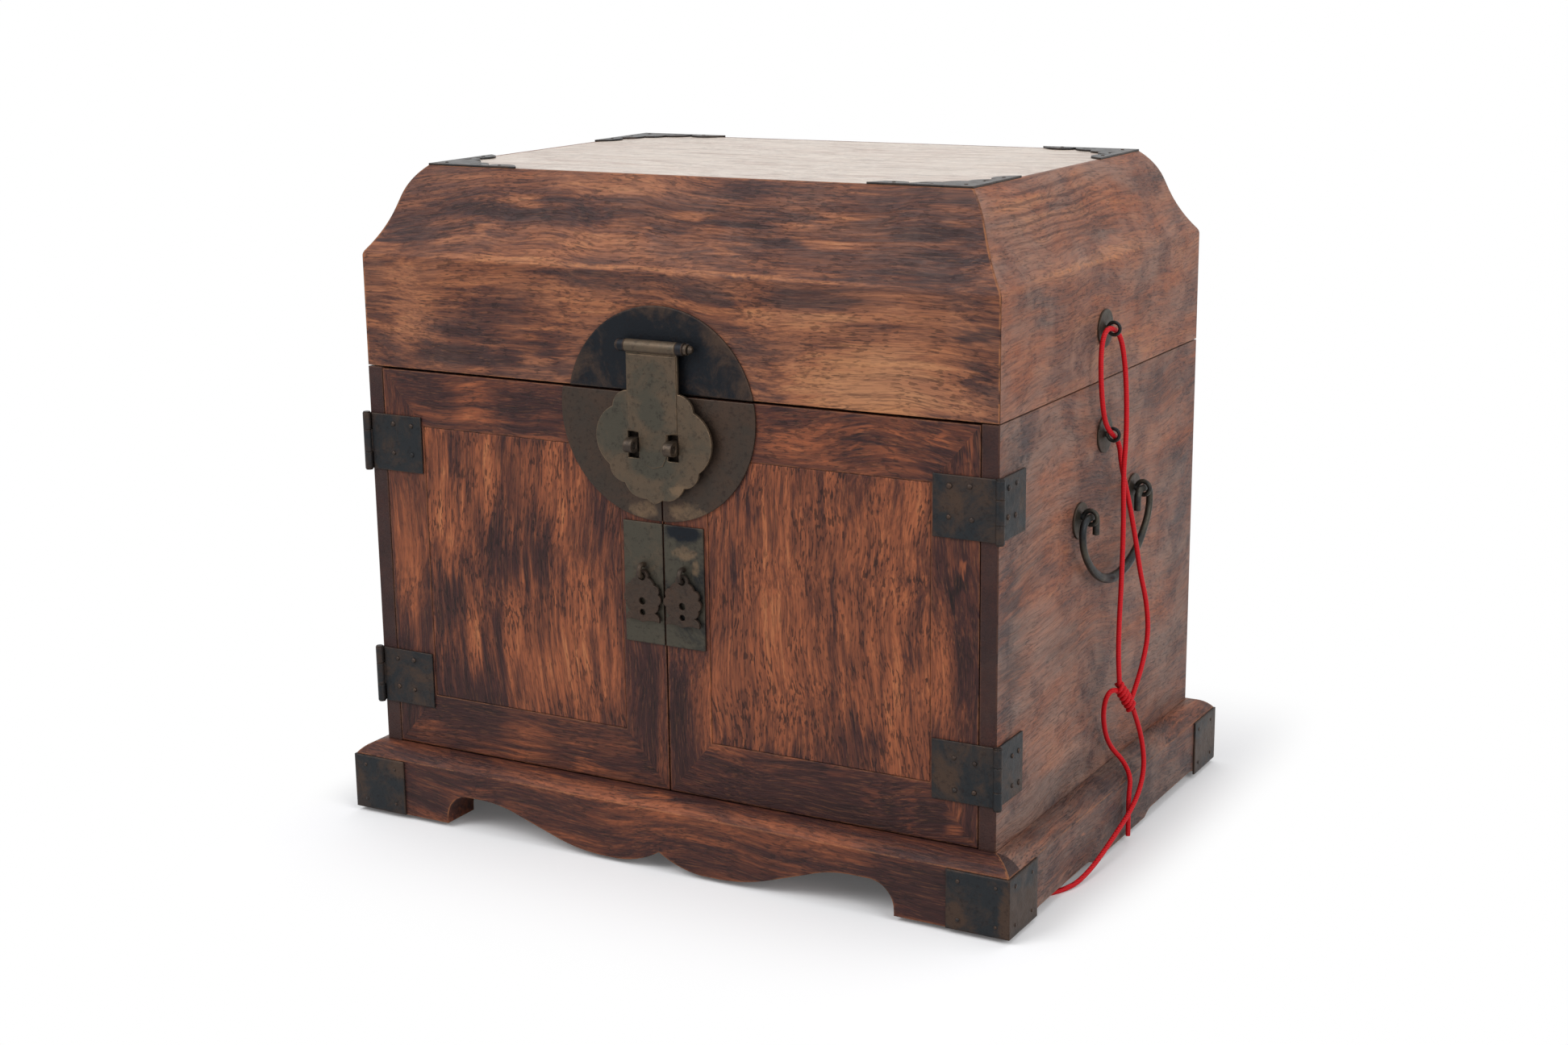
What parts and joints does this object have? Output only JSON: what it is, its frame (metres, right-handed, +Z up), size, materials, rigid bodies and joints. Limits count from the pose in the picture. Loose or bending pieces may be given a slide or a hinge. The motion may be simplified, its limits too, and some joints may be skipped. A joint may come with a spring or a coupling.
{
  "type": "seal chest",
  "caption": "Table-top seal chest with a bevelled hinged lid, hasp, two doors over drawers, bail handles, apron plinth and a red tie cord.",
  "frame": {"origin": "on the floor, under the centre of the chest", "axes": "+X to the right seen from the front, +Y to the back, +Z up"},
  "size_m": [0.3818, 0.279, 0.3385],
  "materials": {
    "plinth_wood": "waxed, dark",
    "side_wood": "waxed, worn",
    "inner_wood": "bare, darkened",
    "lid_wood": "waxed, worn paler on the edges",
    "panel_wood": "worn, greyed",
    "door_frame_wood": "waxed, dark and worn",
    "door_panel_wood": "open-grained, dark finish worn off",
    "drawer_wood": "waxed",
    "wrought_metal": "dark, rubbed",
    "worn_brass": "dull, rubbed",
    "dark_brass": "dark patina",
    "clear_pad": "soft",
    "red_cord": "woven"
  },
  "bodies": {
    "case": {"plinth_front": "plinth_wood", "plinth_back": "plinth_wood", "plinth_left": "plinth_wood", "plinth_right": "plinth_wood", "plinth_mounts": "dark_brass", "foot_pads": "clear_pad", "case_side_left": "side_wood", "case_side_right": "side_wood", "case_back": "side_wood", "case_bottom": "inner_wood", "tray_floor": "inner_wood", "tray_front": "inner_wood", "drawer_shelf": "inner_wood", "drawer_divider": "inner_wood", "case_discs": "dark_brass", "case_eyes": "wrought_metal", "door_hinge_case_leaves": "dark_brass", "door_hinge_pins": "wrought_metal", "lid_hinge_case_leaves": "dark_brass", "lid_hinge_pins": "wrought_metal", "cord_loop": "red_cord", "cord_knot": "red_cord", "cord_tail_short": "red_cord", "cord_tail_long": "red_cord"},
    "lid": {"lid_front": "lid_wood", "lid_back": "lid_wood", "lid_left": "lid_wood", "lid_right": "lid_wood", "lid_panel": "panel_wood", "lid_mounts": "dark_brass", "lock_plate_upper": "dark_brass", "hasp_pin": "wrought_metal", "lid_hinge_lid_leaves": "dark_brass", "lid_discs": "dark_brass", "lid_eyes": "wrought_metal"},
    "hasp": {"hasp": "worn_brass"},
    "door_left": {"door_left_frame": "door_frame_wood", "door_left_panel": "door_panel_wood", "door_left_hinge_leaves": "dark_brass", "door_left_lock_plate": "dark_brass", "door_left_staples": "wrought_metal", "door_left_pull_plate": "worn_brass"},
    "pendant_left": {"pendant_left": "worn_brass"},
    "handle_left": {"handle_left": "wrought_metal"},
    "drawer_upper_left": {"drawer_upper_left": "drawer_wood", "drawer_upper_left_knob": "dark_brass"},
    "drawer_lower_left": {"drawer_lower_left": "drawer_wood", "drawer_lower_left_knob": "dark_brass"},
    "door_right": {"door_right_frame": "door_frame_wood", "door_right_panel": "door_panel_wood", "door_right_hinge_leaves": "dark_brass", "door_right_lock_plate": "dark_brass", "door_right_staples": "wrought_metal", "door_right_pull_plate": "worn_brass"},
    "pendant_right": {"pendant_right": "worn_brass"},
    "handle_right": {"handle_right": "wrought_metal"},
    "drawer_upper_right": {"drawer_upper_right": "drawer_wood", "drawer_upper_right_knob": "dark_brass"},
    "drawer_lower_right": {"drawer_lower_right": "drawer_wood", "drawer_lower_right_knob": "dark_brass"}
  },
  "joints": [
    {"name": "lid_hinge", "type": "hinge", "parent": "case", "child": "lid", "pos_m": [0, 0.129, 0.2375], "axis": [-1, 0, 0], "range_deg": [0, 65], "deforming": ["cord_loop"]},
    {"name": "hasp_swing", "type": "hinge", "parent": "lid", "child": "hasp", "pos_m": [-0.0012, -0.1315, 0.2605], "axis": [-1, 0, 0], "range_deg": [0, 150]},
    {"name": "door_right_hinge", "type": "hinge", "parent": "case", "child": "door_right", "pos_m": [0.1765, -0.1282, 0.1375], "axis": [0, 0, 1], "range_deg": [0, 180]},
    {"name": "door_left_hinge", "type": "hinge", "parent": "case", "child": "door_left", "pos_m": [-0.1765, -0.1282, 0.1375], "axis": [0, 0, -1], "range_deg": [0, 180]},
    {"name": "handle_right_swing", "type": "hinge", "parent": "case", "child": "handle_right", "pos_m": [0.1806, 0.003, 0.176], "axis": [0, -1, 0], "range_deg": [0, 100]},
    {"name": "handle_left_swing", "type": "hinge", "parent": "case", "child": "handle_left", "pos_m": [-0.1806, 0.003, 0.176], "axis": [0, 1, 0], "range_deg": [0, 100]},
    {"name": "pendant_right_swing", "type": "hinge", "parent": "door_right", "child": "pendant_right", "pos_m": [0.0113, -0.1291, 0.1503], "axis": [-1, 0, 0], "range_deg": [0, 70]},
    {"name": "pendant_left_swing", "type": "hinge", "parent": "door_left", "child": "pendant_left", "pos_m": [-0.0113, -0.1291, 0.1503], "axis": [-1, 0, 0], "range_deg": [0, 70]},
    {"name": "drawer_upper_left_slide", "type": "slide", "parent": "case", "child": "drawer_upper_left", "axis": [0, -1, 0], "range_m": [0, 0.0721]},
    {"name": "drawer_upper_right_slide", "type": "slide", "parent": "case", "child": "drawer_upper_right", "axis": [0, -1, 0], "range_m": [0, 0.0721]},
    {"name": "drawer_lower_left_slide", "type": "slide", "parent": "case", "child": "drawer_lower_left", "axis": [0, -1, 0], "range_m": [0, 0.0721]},
    {"name": "drawer_lower_right_slide", "type": "slide", "parent": "case", "child": "drawer_lower_right", "axis": [0, -1, 0], "range_m": [0, 0.0721]}
  ],
  "couplings": [
    {"joint": "drawer_upper_left_slide", "follows": "door_left_hinge", "m_per_rad": 0.022918},
    {"joint": "drawer_upper_right_slide", "follows": "door_right_hinge", "m_per_rad": 0.022918},
    {"joint": "drawer_lower_left_slide", "follows": "door_left_hinge", "m_per_rad": 0.022918},
    {"joint": "drawer_lower_right_slide", "follows": "door_right_hinge", "m_per_rad": 0.022918}
  ]
}
